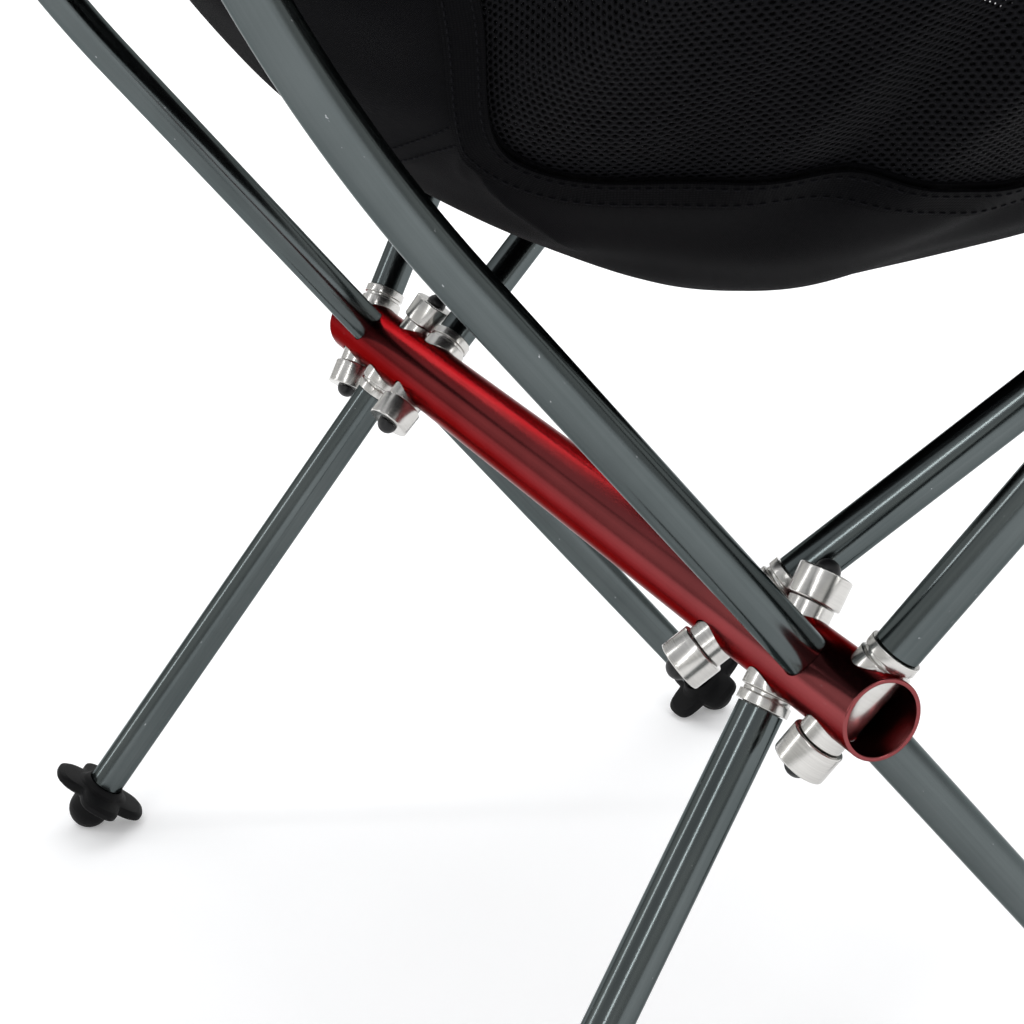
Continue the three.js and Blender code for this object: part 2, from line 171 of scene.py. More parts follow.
def lathe(outline, origin, axis, fillet, steps=4, closed=False, facets=ROUND, shape=None):
    """Points, faces and unwrapped corners of [radius, distance] points in millimetres turned about axis.

    An open outline starts and ends on the axis; a closed one goes round a ring. shape takes a point's
    radius, distance, direction and angle, and gives the radius and distance to use there."""
    pts = filleted(outline, fillet, steps, closed)
    spin = turn_to(axis)
    rows, verts, faces, uvs = [], [], [], []
    for radius, along in pts:
        if radius < 1e-6:
            rows.append([len(verts)] * facets)
            verts.append(origin + spin @ Vector((0, 0, along * MM)))
            continue
        rows.append(list(range(len(verts), len(verts) + facets)))
        for k in range(facets):
            angle = 2 * math.pi * k / facets
            ray = spin @ Vector((math.cos(angle), math.sin(angle), 0))
            reach, at = shape(radius, along, ray, angle) if shape else (radius, along)
            verts.append(origin + (ray * reach + axis * at) * MM)
    loop = pts + pts[:1] if closed else pts
    lengths = [0.0]
    for a, b in zip(loop, loop[1:]):
        lengths.append(lengths[-1] + math.dist(a, b) * MM)
    girth = 2 * math.pi * max(p[0] for p in pts) * MM
    for i in range(len(loop) - 1):
        low, high = rows[i], rows[(i + 1) % len(rows)]
        for k in range(facets):
            n = (k + 1) % facets
            u0, u1 = girth * k / facets, girth * (k + 1) / facets
            face = [low[k], low[n], high[n], high[k]]
            corner = [(u0, lengths[i]), (u1, lengths[i]), (u1, lengths[i + 1]), (u0, lengths[i + 1])]
            kept = [q for q in range(4) if face[q] not in face[:q]]
            if len(kept) > 2:
                faces.append([face[q] for q in kept])
                uvs.extend(corner[q] for q in kept)
    return verts, faces, uvs


def turned(name, outline, origin, axis, fillet=0.25, **options):
    """Turned piece; the options are those of lathe."""
    return flipped_if_inside_out(make_object(name, *lathe(outline, origin, axis, fillet, **options)))


def ring(outside, bore):
    """Closed outline of a turned piece with a bore: outside goes from its low end to its high end."""
    return [(bore, outside[0][1]), *outside, (bore, outside[-1][1])]


def ring_faces(pairs, facets, u_step):
    """Faces and unwrapped corners between rings of points; pairs holds (ring, next ring, its v, next v)."""
    faces, uvs = [], []
    for i, j, v0, v1 in pairs:
        for k in range(facets):
            n = (k + 1) % facets
            faces.append((i * facets + k, i * facets + n, j * facets + n, j * facets + k))
            u0, u1 = u_step * k, u_step * (k + 1)
            uvs += [(u0, v0), (u1, v0), (u1, v1), (u0, v1)]
    return faces, uvs


def end_faces(ends, facets, size):
    """Faces that close a tube at its end rings, given as (ring, order), and their unwrapped corners."""
    faces = [tuple(ring_at * facets + k for k in range(facets))[::order] for ring_at, order in ends]
    return faces, [(size * math.cos(k), size * math.sin(k)) for k in range(facets)] * len(ends)


def running_length(points):
    """Length along a line of points, from its start to each point."""
    return np.concatenate([[0], np.cumsum(np.linalg.norm(np.diff(points, axis=0), axis=1))])


def swept_tube(name, path, facets=72):
    """Hollow pole along a path of points in metres, with eased outer rims."""
    outer, inner = POLE_RADIUS, POLE_RADIUS - POLE_WALL
    last = len(path) - 1
    tangents = [(path[min(i + 1, last)] - path[max(i - 1, 0)]).normalized() for i in range(last + 1)]
    sides = [tangents[0].orthogonal().normalized()]
    for before, tangent in zip(tangents, tangents[1:]):
        side = before.rotation_difference(tangent) @ sides[-1]
        sides.append((side - tangent * side.dot(tangent)).normalized())
    run = [0.0]
    for a, b in zip(path, path[1:]):
        run.append(run[-1] + (b - a).length)
    total, wall = run[-1], (outer - inner) * MM
    # Each ring: the path's point, shift along it and radius in millimetres, and unwrapped length.
    rings = [(0, 0, outer - POLE_EDGE, 0.0), (0, POLE_EDGE, outer, POLE_EDGE * MM)]
    rings += [(i, 0, outer, run[i]) for i in range(1, last)]
    rings += [(last, -POLE_EDGE, outer, total - POLE_EDGE * MM), (last, 0, outer - POLE_EDGE, total)]
    rings += [(last, 0, inner, total + wall)]
    rings += [(i, 0, inner, 2 * total - run[i]) for i in range(last - 1, 0, -1)]
    rings += [(0, 0, inner, 2 * total)]
    verts = []
    for i, shift, radius, _ in rings:
        centre = path[i] + tangents[i] * (shift * MM)
        other = tangents[i].cross(sides[i])
        for k in range(facets):
            angle = 2 * math.pi * k / facets
            verts.append(centre + (sides[i] * math.cos(angle) + other * math.sin(angle)) * (radius * MM))
    at = [ring_row[3] for ring_row in rings]
    pairs = [(i, i + 1, at[i], at[i + 1]) for i in range(len(rings) - 1)]
    pairs += [(len(rings) - 1, 0, at[-1], at[-1] + wall)]
    faces, uvs = ring_faces(pairs, facets, 2 * math.pi * outer * MM / facets)
    return flipped_if_inside_out(make_object(name, verts, faces, uvs, sharp_deg=40))


def flipped_if_inside_out(obj):
    """Faces point outwards: the signed volume is made positive."""
    mesh = obj.data
    mesh.calc_loop_triangles()
    co = np.array([v.co for v in mesh.vertices], float)
    tri = np.array([t.vertices for t in mesh.loop_triangles])
    a, b, c = co[tri[:, 0]], co[tri[:, 1]], co[tri[:, 2]]
    if np.einsum("ij,ij->i", a, np.cross(b, c)).sum() < 0:
        mesh.flip_normals()
    return obj


# ---------- materials ----------
class Graph:
    """A material's or the world's nodes, with the helpers that they share."""

    def __init__(self, owner):
        owner.use_nodes = True
        self.owner = owner
        self.nodes, self.links = owner.node_tree.nodes, owner.node_tree.links
        self.shader = self.nodes.get("Principled BSDF") or self.nodes["Background"]

    def feed(self, socket, value):
        """Gives a socket a constant, or links another node's output to it."""
        if isinstance(value, (int, float, tuple)):
            socket.default_value = value
        else:
            self.links.new(value, socket)

    def set(self, **values):
        """Feeds the shader's sockets; an underscore in a name stands for a space."""
        for name, value in values.items():
            self.feed(self.shader.inputs[name.replace("_", " ")], value)

    def node(self, kind, *values, **settings):
        """New node with these settings, whose first sockets are fed the values."""
        node = self.nodes.new("ShaderNode" + kind)
        for name, value in settings.items():
            setattr(node, name, value)
        for socket, value in zip(node.inputs, values):
            self.feed(socket, value)
        return node

    def math(self, operation, *values):
        return self.node("Math", *values, operation=operation).outputs[0]

    def vector(self, operation, *values):
        node = self.node("VectorMath", *values, operation=operation)
        return node.outputs["Value" if operation == "LENGTH" else "Vector"]

    def surface(self, *scale):
        """Unwrapped surface position, in metres, times scale across and along."""
        uv = self.node("UVMap", uv_map="UVMap").outputs["UV"]
        return self.vector("MULTIPLY", uv, (*scale, 1))

    def inside(self):
        """Position in the object's own space."""
        return self.node("TexCoord").outputs["Object"]

    def noise(self, vector, scale, detail, rough=0.55):
        node = self.node("TexNoise", vector)
        for name, value in (("Scale", scale), ("Detail", detail), ("Roughness", rough)):
            node.inputs[name].default_value = value
        return node.outputs["Fac"]

    def mix(self, a, b, share):
        """Sum of the share of a and the rest of b."""
        return self.math("ADD", self.math("MULTIPLY", a, share), self.math("MULTIPLY", b, 1 - share))

    def ramp(self, factor, *stops):
        node = self.node("ValToRGB", factor)
        elements = node.color_ramp.elements
        while len(elements) < len(stops):
            elements.new(0.5)
        for element, (position, colour) in zip(elements, stops):
            element.position = position
            element.color = (*colour, 1)
        return node.outputs["Color"]

    def spread(self, value, low, high, start=0.0, end=1.0):
        """Maps start to end onto low to high, and holds what lies outside."""
        return self.node("MapRange", value, start, end, low, high).outputs["Result"]

    def bump(self, height, strength, distance):
        node = self.node("Bump")
        for name, value in (("Strength", strength), ("Distance", distance), ("Height", height)):
            self.feed(node.inputs[name], value)
        self.set(Normal=node.outputs["Normal"])


def new_material(name):
    return Graph(bpy.data.materials.new(name))


def anodised(name, dark, light, rough, speck, rim):
    """Anodised drawn tube: faint lengthwise drawing marks, soft colour drift and a few worn specks."""
    g = new_material(name)
    drawn = g.noise(g.surface(900, 9), 1.0, 4)
    blend = g.mix(drawn, g.noise(g.inside(), 26, 3), 0.45)
    worn = g.ramp(g.noise(g.surface(700, 420), 1.0, 2), (0.735, (0, 0, 0)), (0.76, (1, 1, 1)))
    mix = g.node("Mix", data_type="RGBA")
    g.feed(mix.inputs["Factor"], g.math("MULTIPLY", worn, speck))
    g.feed(mix.inputs["A"], g.ramp(blend, (0.3, dark), (0.7, light)))
    g.feed(mix.inputs["B"], (0.55, 0.56, 0.58, 1))
    g.set(Metallic=1.0, Specular_Tint=(*rim, 1), Base_Color=mix.outputs["Result"],
          Roughness=g.spread(blend, *rough))
    g.bump(drawn, 0.05, 0.00004)
    return g.owner


def turned_metal(name):
    """Bright turned aluminium: fine lathe rings round each piece."""
    g = new_material(name)
    rings = g.noise(g.surface(25, 5200), 1.0, 3, 0.6)
    tone = g.mix(rings, g.noise(g.surface(60, 900), 1.0, 2), 0.7)
    g.set(Metallic=1.0, Base_Color=g.ramp(tone, (0.3, (0.47, 0.458, 0.44)), (0.65, (0.60, 0.588, 0.565))),
          Roughness=g.spread(tone, 0.19, 0.30))
    g.bump(rings, 0.05, 0.000008)
    return g.owner


def moulded(name, low, high, roughness, grain, grain_scale, specular=0.35):
    """Moulded rubber or plastic with a fine grain and a slight dusty drift."""
    g = new_material(name)
    fine = g.noise(g.inside(), grain_scale, 4)
    g.set(Base_Color=g.ramp(g.noise(g.inside(), 70, 3), (0.3, low), (0.72, high)),
          Roughness=g.spread(fine, roughness - 0.07, roughness + 0.07), Specular_IOR_Level=specular)
    g.bump(fine, grain, 0.0003)
    return g.owner


def woven(name, low, high, pitch=0.00055):
    """Fine plain weave, whose threads pass over and under each other, with soft tone drift."""
    g = new_material(name)
    split = g.node("SeparateXYZ", g.surface(math.pi / pitch, math.pi / pitch))
    warp, weft = g.math("SINE", split.outputs["X"]), g.math("SINE", split.outputs["Y"])
    threads = g.math("ABSOLUTE", g.math("MULTIPLY", warp, weft))
    drift = g.noise(g.inside(), 18, 4)
    g.set(Base_Color=g.ramp(g.mix(threads, drift, 0.4), (0.25, low), (0.75, high)),
          Roughness=g.spread(drift, 0.62, 0.8), Specular_IOR_Level=0.022)
    g.bump(threads, 0.5, 0.0002)
    return g.owner


def air_mesh(name, low, high, pitch=0.0025, hole=0.00060):
    """Knitted mesh with rows of round openings, each row shifted by half a pitch."""
    g = new_material(name)
    stretch = math.sqrt(3)      # a row pair's height over its pitch, for openings in a triangular pattern
    cells = g.surface(1 / pitch, 1 / (pitch * stretch))
    distances = []
    for shift in ((0.0, 0.0, 0.0), (0.5, 0.5, 0.0)):
        cell = g.vector("FRACTION", g.vector("ADD", cells, shift))
        centred = g.vector("SUBTRACT", cell, (0.5, 0.5, 0.0))
        distances.append(g.vector("LENGTH", g.vector("MULTIPLY", centred, (pitch, pitch * stretch, 0.0))))
    wobble = g.math("MULTIPLY", g.math("SUBTRACT", g.noise(cells, 0.7, 2), 0.5), hole * 0.7)
    distance = g.math("ADD", g.math("MINIMUM", *distances), wobble)
    rim = g.spread(distance, 0.0, 1.0, hole, pitch * 0.55)
    g.set(Alpha=g.spread(distance, 0.0, 1.0, hole * 0.9, hole * 1.1), Specular_IOR_Level=0.05,
          Base_Color=g.ramp(rim, (0.0, low), (0.8, high)),
          Roughness=g.spread(g.noise(g.surface(2600, 2600), 1.0, 2), 0.6, 0.85))
    g.bump(rim, 0.8, 0.0004)
    return g.owner


RED = anodised("red_anodised", (0.185, 0.050, 0.052), (0.265, 0.062, 0.065), (0.17, 0.27), 0.1,
               (0.42, 0.25, 0.25))
GUNMETAL = anodised("gunmetal_anodised", (0.074, 0.087, 0.088), (0.110, 0.125, 0.126), (0.13, 0.22), 0.6,
                    (0.5, 0.52, 0.52))
SILVER = turned_metal("turned_silver")
RUBBER = moulded("black_rubber", (0.0022, 0.0022, 0.0025), (0.0052, 0.0052, 0.0056), 0.58, 0.25, 1400,
                 specular=0.12)
PLASTIC = moulded("black_plastic", (0.004, 0.004, 0.0045), (0.008, 0.008, 0.009), 0.42, 0.08, 2200)
CORD = woven("shock_cord_braid", (0.006, 0.006, 0.007), (0.03, 0.03, 0.033), 0.0009)
CLOTH = woven("woven_fabric", (0.0012, 0.0012, 0.0016), (0.0030, 0.0030, 0.0038))
TAPE = woven("binding_tape", (0.0010, 0.0010, 0.0014), (0.0028, 0.0028, 0.0034), 0.0009)
MESH = air_mesh("air_mesh", (0.0010, 0.0010, 0.0013), (0.0050, 0.0050, 0.0062))
THREAD = woven("stitch_thread", (0.004, 0.004, 0.005), (0.010, 0.010, 0.012), 0.0004)


def place(obj, material, body, slot, *nodes):
    obj.data.materials.clear()
    obj.data.materials.append(material)
    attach(obj, body)
    if nodes:
        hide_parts(*nodes)
    return obj


# ---------- hub ----------
def with_holes(obj, cutters):
    """Cuts the cutters out of obj and removes them."""
    for cutter in cutters:
        modifier = obj.modifiers.new("cut", "BOOLEAN")
        modifier.object = cutter
        modifier.solver = "EXACT"
    graph = bpy.context.evaluated_depsgraph_get()
    mesh = bpy.data.meshes.new_from_object(obj.evaluated_get(graph))
    obj.modifiers.clear()
    obj.data = mesh
    for cutter in cutters:
        bpy.data.objects.remove(cutter)


def round_shading(obj, centre, radii):
    """Custom normals that point straight out from the X axis on the tube's round faces."""
    mesh = obj.data
    mesh.polygons.foreach_set("use_smooth", [True] * len(mesh.polygons))
    mesh.set_sharp_from_angle(angle=math.radians(30))
    mesh.update()
    normals = [Vector(n.vector) for n in mesh.corner_normals]
    for polygon in mesh.polygons:
        out = Vector((0, polygon.center.y - centre.y, polygon.center.z - centre.z))
        lying = abs(polygon.normal.dot(out.normalized()))
        on_tube = any(abs(out.length / MM - r) < 0.12 for r in radii)
        if not on_tube or lying < 0.99:
            continue
        sign = 1 if polygon.normal.dot(out) > 0 else -1
        for loop in polygon.loop_indices:
            co = mesh.vertices[mesh.loops[loop].vertex_index].co
            normals[loop] = Vector((0, co.y - centre.y, co.z - centre.z)).normalized() * sign
    mesh.normals_split_custom_set([tuple(n) for n in normals])


POLES = ("rear_leg", "side_pole", "seat_pole")


def drill(origin, axis, radius, reach=25):
    return turned("drill", [(0, -reach), (radius, -reach), (radius, reach), (0, reach)], origin, axis, 0)


def make_hub():
    inner = HUB_RADIUS - HUB_WALL
    outline = [(inner, -hub_half), (HUB_RADIUS, -hub_half), (HUB_RADIUS, hub_half), (inner, hub_half)]
    tube = turned("hub_sleeve", outline, hub_centre, Vector((1, 0, 0)), 0.4, closed=True, facets=180)
    cutters = []
    for side, _ in SIDES:
        for pole in POLES:
            origin, axis = pole_line(pole, side)
            cutters.append(drill(origin, axis, SLEEVE_RADIUS + HOLE_GAP))
        origin, axis = pole_line("front_leg", side)
        cutters.append(drill(origin, axis, POLE_RADIUS + 0.15))
    with_holes(tube, cutters)
    round_shading(tube, hub_centre, (HUB_RADIUS, inner))
    place(tube, RED, "hub", "red_anodised", "hub_tube")


# ---------- collars, caps, cords ----------
def make_spool(pole, side, origin, axis):
    """Sleeve through the hub with a seat flange, a waist, the ring that stops the pole, and the spigot."""
    outside = [
        (TAIL_RADIUS, TAIL_END), (TAIL_RADIUS, SLEEVE_END), (SLEEVE_RADIUS, SLEEVE_END),
        (SLEEVE_RADIUS, FLANGE_LOW), (FLANGE_RADIUS, FLANGE_LOW), (FLANGE_RADIUS, FLANGE_HIGH),
        (6.75, 13.1), (6.75, 14.0), (STOP_RADIUS, STOP_LOW), (STOP_RADIUS, STOP_END),
        (SPIGOT_RADIUS, STOP_END), (SPIGOT_RADIUS, SPIGOT_END - 1), (SPIGOT_TIP, SPIGOT_END),
    ]
    spool = turned(f"collar_{pole}_{side}", ring(outside, CORD_BORE), origin, axis, 0.22, closed=True,
                   shape=hub_saddle(axis))
    place(spool, SILVER, "hub", "turned_silver", f"{pole}_spool_{side}")


def make_cap(pole, side, origin, axis):
    """Thimble on the sleeve's far end, with an eased rim and a small bore for the cord."""
    bore, floor = TAIL_RADIUS + 0.3, TAIL_END - 0.3
    outside = [(CORD_BORE, CAP_END), (CAP_RADIUS, CAP_END), (CAP_RADIUS, CAP_START), (bore, CAP_START),
               (bore, floor), (CORD_BORE, floor)]
    cap = turned(f"end_cap_{pole}_{side}", outside, origin, axis, 0.55, closed=True)
    place(cap, SILVER, "hub", "turned_silver", f"{pole}_cap_{side}")


def knot(high):
    """Outline of a cord's last stretch, up to the flat end of its knot at high."""
    return [(CORD_RADIUS, high - 6), (KNOT_RADIUS, high - 5), (KNOT_RADIUS, high - 1), (0, high)]


def make_bead(pole, side, origin, axis):
    """Domed cord stop outside the cap, and the cord that runs from it into the pole."""
    outline = [(BEAD_RADIUS * math.cos(a), CAP_END - 0.2 - BEAD_HEIGHT * math.sin(a))
               for a in np.linspace(math.pi / 2, 0, 9)]
    outline[0] = (0, outline[0][1])
    high = span(f"{pole}_cord_{side}", origin, axis)[1]
    cord = turned(f"shock_cord_{pole}_{side}", [*outline, (CORD_RADIUS, CAP_END), *knot(high)], origin, axis,
                  0.1, facets=40)
    place(cord, PLASTIC, "hub", "shock_cord", f"{pole}_cord_{side}")


def make_straight_pole(node, side, body, origin, axis, label=None):
    """Straight tube along the node's own length; gives the distance of its far end."""
    low, high = span(f"{node}_{side}", origin, axis)
    steps = 24
    path = [origin + axis * ((low + (high - low) * k / steps) * MM) for k in range(steps + 1)]
    tube = swept_tube(f"tube_{label or node}_{side}", path)
    place(tube, GUNMETAL, f"{body}_{side}", "gunmetal_anodised", f"{node}_{side}")
    return high


def make_tip(label, node, side, body, origin, axis, pole_end):
    """Moulded end plug: a rounded button with a small stop lip."""
    plug, low, lip = TIP_RADIUS - 1.5, pole_end - TIP_DEPTH, pole_end + 0.3
    outline = [(0, low), (plug - 0.5, low), (plug, low + 2), (plug, lip), (TIP_RADIUS, lip),
               (TIP_RADIUS, lip + 2)]
    outline += [(TIP_RADIUS * math.cos(a), lip + 2 + 4.5 * math.sin(a))
                for a in np.linspace(0.2, math.pi / 2, 8)]
    outline[-1] = (0, outline[-1][1])
    tip = turned(f"tip_{label}_{side}", outline, origin, axis, 0.3)
    place(tip, PLASTIC, f"{body}_{side}", "black_plastic", f"{node}_{side}")


def make_collared_pole(pole, side):
    origin, axis = pole_line(pole, side)
    make_spool(pole, side, origin, axis)
    make_cap(pole, side, origin, axis)
    make_bead(pole, side, origin, axis)
    pole_end = make_straight_pole(pole, side, f"{pole}_group", origin, axis)
    if pole != "rear_leg":
        make_tip(pole, f"{pole}_tip", side, f"{pole}_group", origin, axis, pole_end)


# ---------- feet ----------
def make_foot(leg, side):
    """Rubber foot: short neck, clover disc square to the leg, rounded heel, and flat on the ground."""
    origin, axis = pole_line(f"{leg}_leg", side)
    disc = span(f"{leg}_leg_{side}", origin, axis)[1] - DISC_FROM_POLE_END
    neck, heel_round, heel_end = 8.4, 7.7, disc + 15.5
    outline = [(0, disc + 7.3), (6.6, disc + 7.3), (6.6, disc - 4.6), (7.3, disc - 4.6), (7.9, disc - 4.0),
               (neck + 0.3, disc - 2.9), (neck + 1.8, disc - 2.2), (16.6, disc - 1.9), (LOBE_OUT, disc - 1.0),
               (LOBE_OUT, disc + 1.0), (16.6, disc + 1.9), (neck + 1.2, disc + 2.2),
               (heel_round + 0.2, disc + 3.2)]
    outline += [(heel_round * math.cos(a), heel_end - heel_round + heel_round * math.sin(a))
                for a in np.linspace(0, math.pi / 2, 9)]
    outline[-1] = (0, heel_end)
    heading = math.atan2(axis.y, axis.x)

    def clover(radius, along, _, angle):
        share = max(0.0, (radius - neck) / (LOBE_OUT - neck))
        lobe = (1 - math.cos(LOBES * (angle - heading))) / 2
        return radius - (LOBE_OUT - LOBE_IN) * lobe ** 2.4 * share, along

    verts, faces, _ = lathe(outline, origin, axis, 0.8, steps=3, facets=128, shape=clover)
    for v in verts:
        v.z = max(v.z, 0.0)
    foot = flipped_if_inside_out(make_object(f"foot_{leg}_{side}", verts, faces, sharp_deg=50))
    place(foot, RUBBER, f"{leg}_leg_group_{side}", "black_rubber", f"{leg}_foot_{side}")


# ---------- back pole and front leg ----------
def make_back_pole(side):
    origin, lower = pole_line("back_lower", side)
    upper = joint_axis(f"back_upper_pull_{side}")
    low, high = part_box(f"back_pole_upper_{side}")
    middle = (low + high) / 2
    bend, radius = lower.angle(upper), BEND_RADIUS * MM
    # The two straight runs meet at a corner; the bend's ends lie one tangent length from it.
    cross = lower.cross(upper)
    corner = origin + lower * ((middle - origin).cross(upper).dot(cross) / cross.length_squared)
    start = corner - lower * (radius * math.tan(bend / 2))
    inward = (upper - lower * upper.dot(lower)).normalized()
    straight = (start - origin).length
    path = [origin + lower * (0.3 * MM)]
    path += [origin + lower * (straight * k / 10) for k in range(1, 11)]
    for k in range(1, 41):
        angle = bend * k / 40
        path.append(start + lower * (radius * math.sin(angle)) + inward * (radius * (1 - math.cos(angle))))
    joint = middle + upper * ((span(f"back_pole_upper_{side}", middle, upper)[0] - 2.2) * MM)
    path += [path[-1].lerp(joint, k / 4) for k in range(1, 5)]
    tube = swept_tube(f"tube_back_lower_{side}", path)
    place(tube, GUNMETAL, f"back_lower_group_{side}", "gunmetal_anodised", f"back_pole_lower_{side}")
    plug, stop = SPIGOT_RADIUS + 0.05, 6.95
    outside = [(SPIGOT_TIP, -30.0), (plug, -29), (plug, 0.3), (stop, 0.3), (stop, 1.9), (plug, 1.9),
               (plug, 21), (SPIGOT_TIP, 22.0)]
    ferrule = turned(f"ferrule_back_{side}", ring(outside, CORD_BORE), joint, upper, 0.2, closed=True)
    place(ferrule, SILVER, f"back_lower_group_{side}", "turned_silver", f"back_pole_joint_{side}")
    pole_end = make_straight_pole("back_pole_upper", side, "back_upper_group", middle, upper, "back_upper")
    make_tip("back", "back_pole_tip", side, "back_upper_group", middle, upper, pole_end)


def make_front_leg(side):
    origin, axis = pole_line("front_leg", side)
    make_straight_pole("front_leg", side, "front_leg_group", origin, axis)
    outside = [(SPIGOT_TIP, -14), (SPIGOT_RADIUS, -13), (SPIGOT_RADIUS, 21), (SPIGOT_TIP, 22)]
    spigot = turned(f"spigot_main_{side}", ring(outside, CORD_BORE), origin, axis, 0.2, closed=True)
    place(spigot, SILVER, "hub", "turned_silver", f"main_spigot_{side}")
    low, high = span(f"main_cord_{side}", origin, axis)
    outline = [(0, low), (CORD_RADIUS, low), *knot(high)]
    cord = turned(f"shock_cord_main_{side}", outline, origin, axis, 0.1, facets=32)
    place(cord, CORD, "hub", "shock_cord", f"main_cord_{side}")


make_hub()
for side_name, _ in SIDES:
    for pole_name in POLES:
        make_collared_pole(pole_name, side_name)
for side_name, _ in SIDES:
    make_back_pole(side_name)
    make_front_leg(side_name)
for side_name, _ in SIDES:
    for leg_name in ("rear", "front"):
        make_foot(leg_name, side_name)


# ---------- sling: the surface that every cloth piece lies on ----------
# x runs across from the centre line and s along the centre line from the front lip, in millimetres.
# Points of the profile and of the edges have y from the hub's axis and z from the ground.
PROFILE = (
    (-190, 301), (-160, 265), (-110, 249.5), (-55, 242.5), (0, 257.5),
    (45, 282), (98, 326), (143, 396), (180, 481), (208, 586),
)
FRONT_BOW, SIDE_BOW = (200, -180, 385), (190, 68, 407)
WING_SHARE, CROSS_POWER, SEAM_SHARE = 0.14, 1.8, 0.47
STRIP_HALF = 112                # half width of the woven strip
WAIST = (0.44, 0.060, 0.050)    # where the strip narrows, and how far it takes on each side
WAIST_DEPTH = 52
SITTER = (0, -20, 300)
CORNER_IN, CORNER_DROP = 17.2, 12  # from a pole's end to the sling's corner: to the sitter, and back
# Lines of (x, s) along which the strip is creased on both sides of its waist, with their depths.
CREASES = (
    (((-66, 290), (-56, 282), (-48, 267), (-42, 250), (-36, 235), (-28, 222)), 2.6),
    (((-66, 290), (-50, 281), (-40, 272)), 1.6),
)
SLACK = ((132, 3.2), (218, 1.8))  # places along the seat where the cloth is slack, and how far it rises


def centre_line():
    """The profile as a smooth line through its points."""
    pts = np.array(PROFILE, float)
    held = np.vstack([2 * pts[0] - pts[1], pts, 2 * pts[-1] - pts[-2]])
    out = []
    for i in range(len(pts) - 1):
        p0, p1, p2, p3 = held[i:i + 4]
        for t in np.linspace(0, 1, 40, endpoint=False):
            out.append(0.5 * (2 * p1 + (p2 - p0) * t + (2 * p0 - 5 * p1 + 4 * p2 - p3) * t ** 2
                              + (3 * p1 - p0 - 3 * p2 + p3) * t ** 3))
    out.append(pts[-1])
    return np.array(out)


LINE = centre_line()
LINE_AT = np.concatenate([[0], np.cumsum(np.hypot(*np.diff(LINE, axis=0).T))])
LENGTH = LINE_AT[-1]
HUB_SHIFT = np.array([0, hub_centre.y / MM, 0])


def pole_tip(pole, joint, side):
    """End of a pole that carries the sling, its direction, and the way across to the sitter, in mm."""
    axis = joint_axis(f"{joint}_{side}")
    low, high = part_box(f"{pole}_{side}")
    middle = (low + high) / 2
    end = (middle + axis * (span(f"{pole}_{side}", middle, axis)[1] * MM)) / MM
    inward = Vector(HUB_SHIFT + SITTER) - end
    inward = (inward - axis * inward.dot(axis)).normalized()
    return end, axis, inward


TIPS = (("front", "seat_pole", "seat_pole_pull"), ("side", "side_pole", "side_pole_pull"),
        ("back", "back_pole_upper", "back_upper_pull"))
CORNERS = []
for _, pole_name, joint_name in TIPS:
    tip_end, tip_axis, tip_inward = pole_tip(pole_name, joint_name, "left")
    CORNERS.append(np.array(tip_end + tip_inward * CORNER_IN - tip_axis * CORNER_DROP) - HUB_SHIFT)


def bezier(a, b, c, t):
    """Curve from a to c that bows towards b."""
    t = np.asarray(t)[..., None]
    return a * (1 - t) ** 2 + np.array(b, float) * (2 * t * (1 - t)) + c * t ** 2


def edge_at(along):
    """Left free edge of the sling at this share of the centre line's length."""
    front = bezier(CORNERS[0], FRONT_BOW, CORNERS[1], np.clip(along / WING_SHARE, 0, 1))
    back = bezier(CORNERS[1], SIDE_BOW, CORNERS[2], np.clip((along - WING_SHARE) / (1 - WING_SHARE), 0, 1))
    return np.where((along < WING_SHARE)[..., None], front, back)


def smooth_step(low, high, value):
    t = np.clip((value - low) / (high - low), 0, 1)
    return t * t * (3 - 2 * t)


def crease_height(x, s):
    """Sharp folds where the strip is gathered at its waist."""
    height = np.zeros_like(x)
    side_x = -np.abs(x)
    for line, depth in CREASES:
        nearest = np.full(x.shape, 1e9)
        fade = np.zeros_like(x)
        for i, (a, b) in enumerate(zip(line, line[1:])):
            a, b = np.array(a, float), np.array(b, float)
            d = b - a
            t = np.clip(((side_x - a[0]) * d[0] + (s - a[1]) * d[1]) / (d @ d), 0, 1)
            away = np.hypot(side_x - a[0] - t * d[0], s - a[1] - t * d[1])
            share = (i + t) / (len(line) - 1)
            fade = np.where(away < nearest, np.sin(np.pi * np.clip(0.12 + 0.85 * share, 0, 1)), fade)
            nearest = np.minimum(nearest, away)
        height += depth * fade * np.exp(-nearest / 4.5)
    return height


def fold_height(x, s, across):
    """Soft folds that hang between the centre strip and the edge, and slight unevenness of the cloth."""
    reach = np.abs(across)
    wing = smooth_step(0.30, 0.62, reach) * smooth_step(1.0, 0.82, reach)
    folds = 2.0 * np.sin(s / 9.0 + 0.4 + 0.012 * x) + 1.1 * np.sin(s / 5.6 + 1.9 - 0.02 * x)
    uneven = 0.35 * np.sin(x / 11.0 + s / 17.0) + 0.25 * np.sin(x / 6.3 - s / 8.1 + 1.0)
    ends = smooth_step(0, 40, s) * smooth_step(LENGTH, LENGTH - 40, s)
    slack = sum(depth * np.exp(-((s - place) / 18) ** 2 / 2) for place, depth in SLACK)
    uneven = uneven + slack * smooth_step(0.95, 0.5, reach)
    return (wing * folds + uneven * (1 - wing) * smooth_step(1.0, 0.9, reach)) * ends


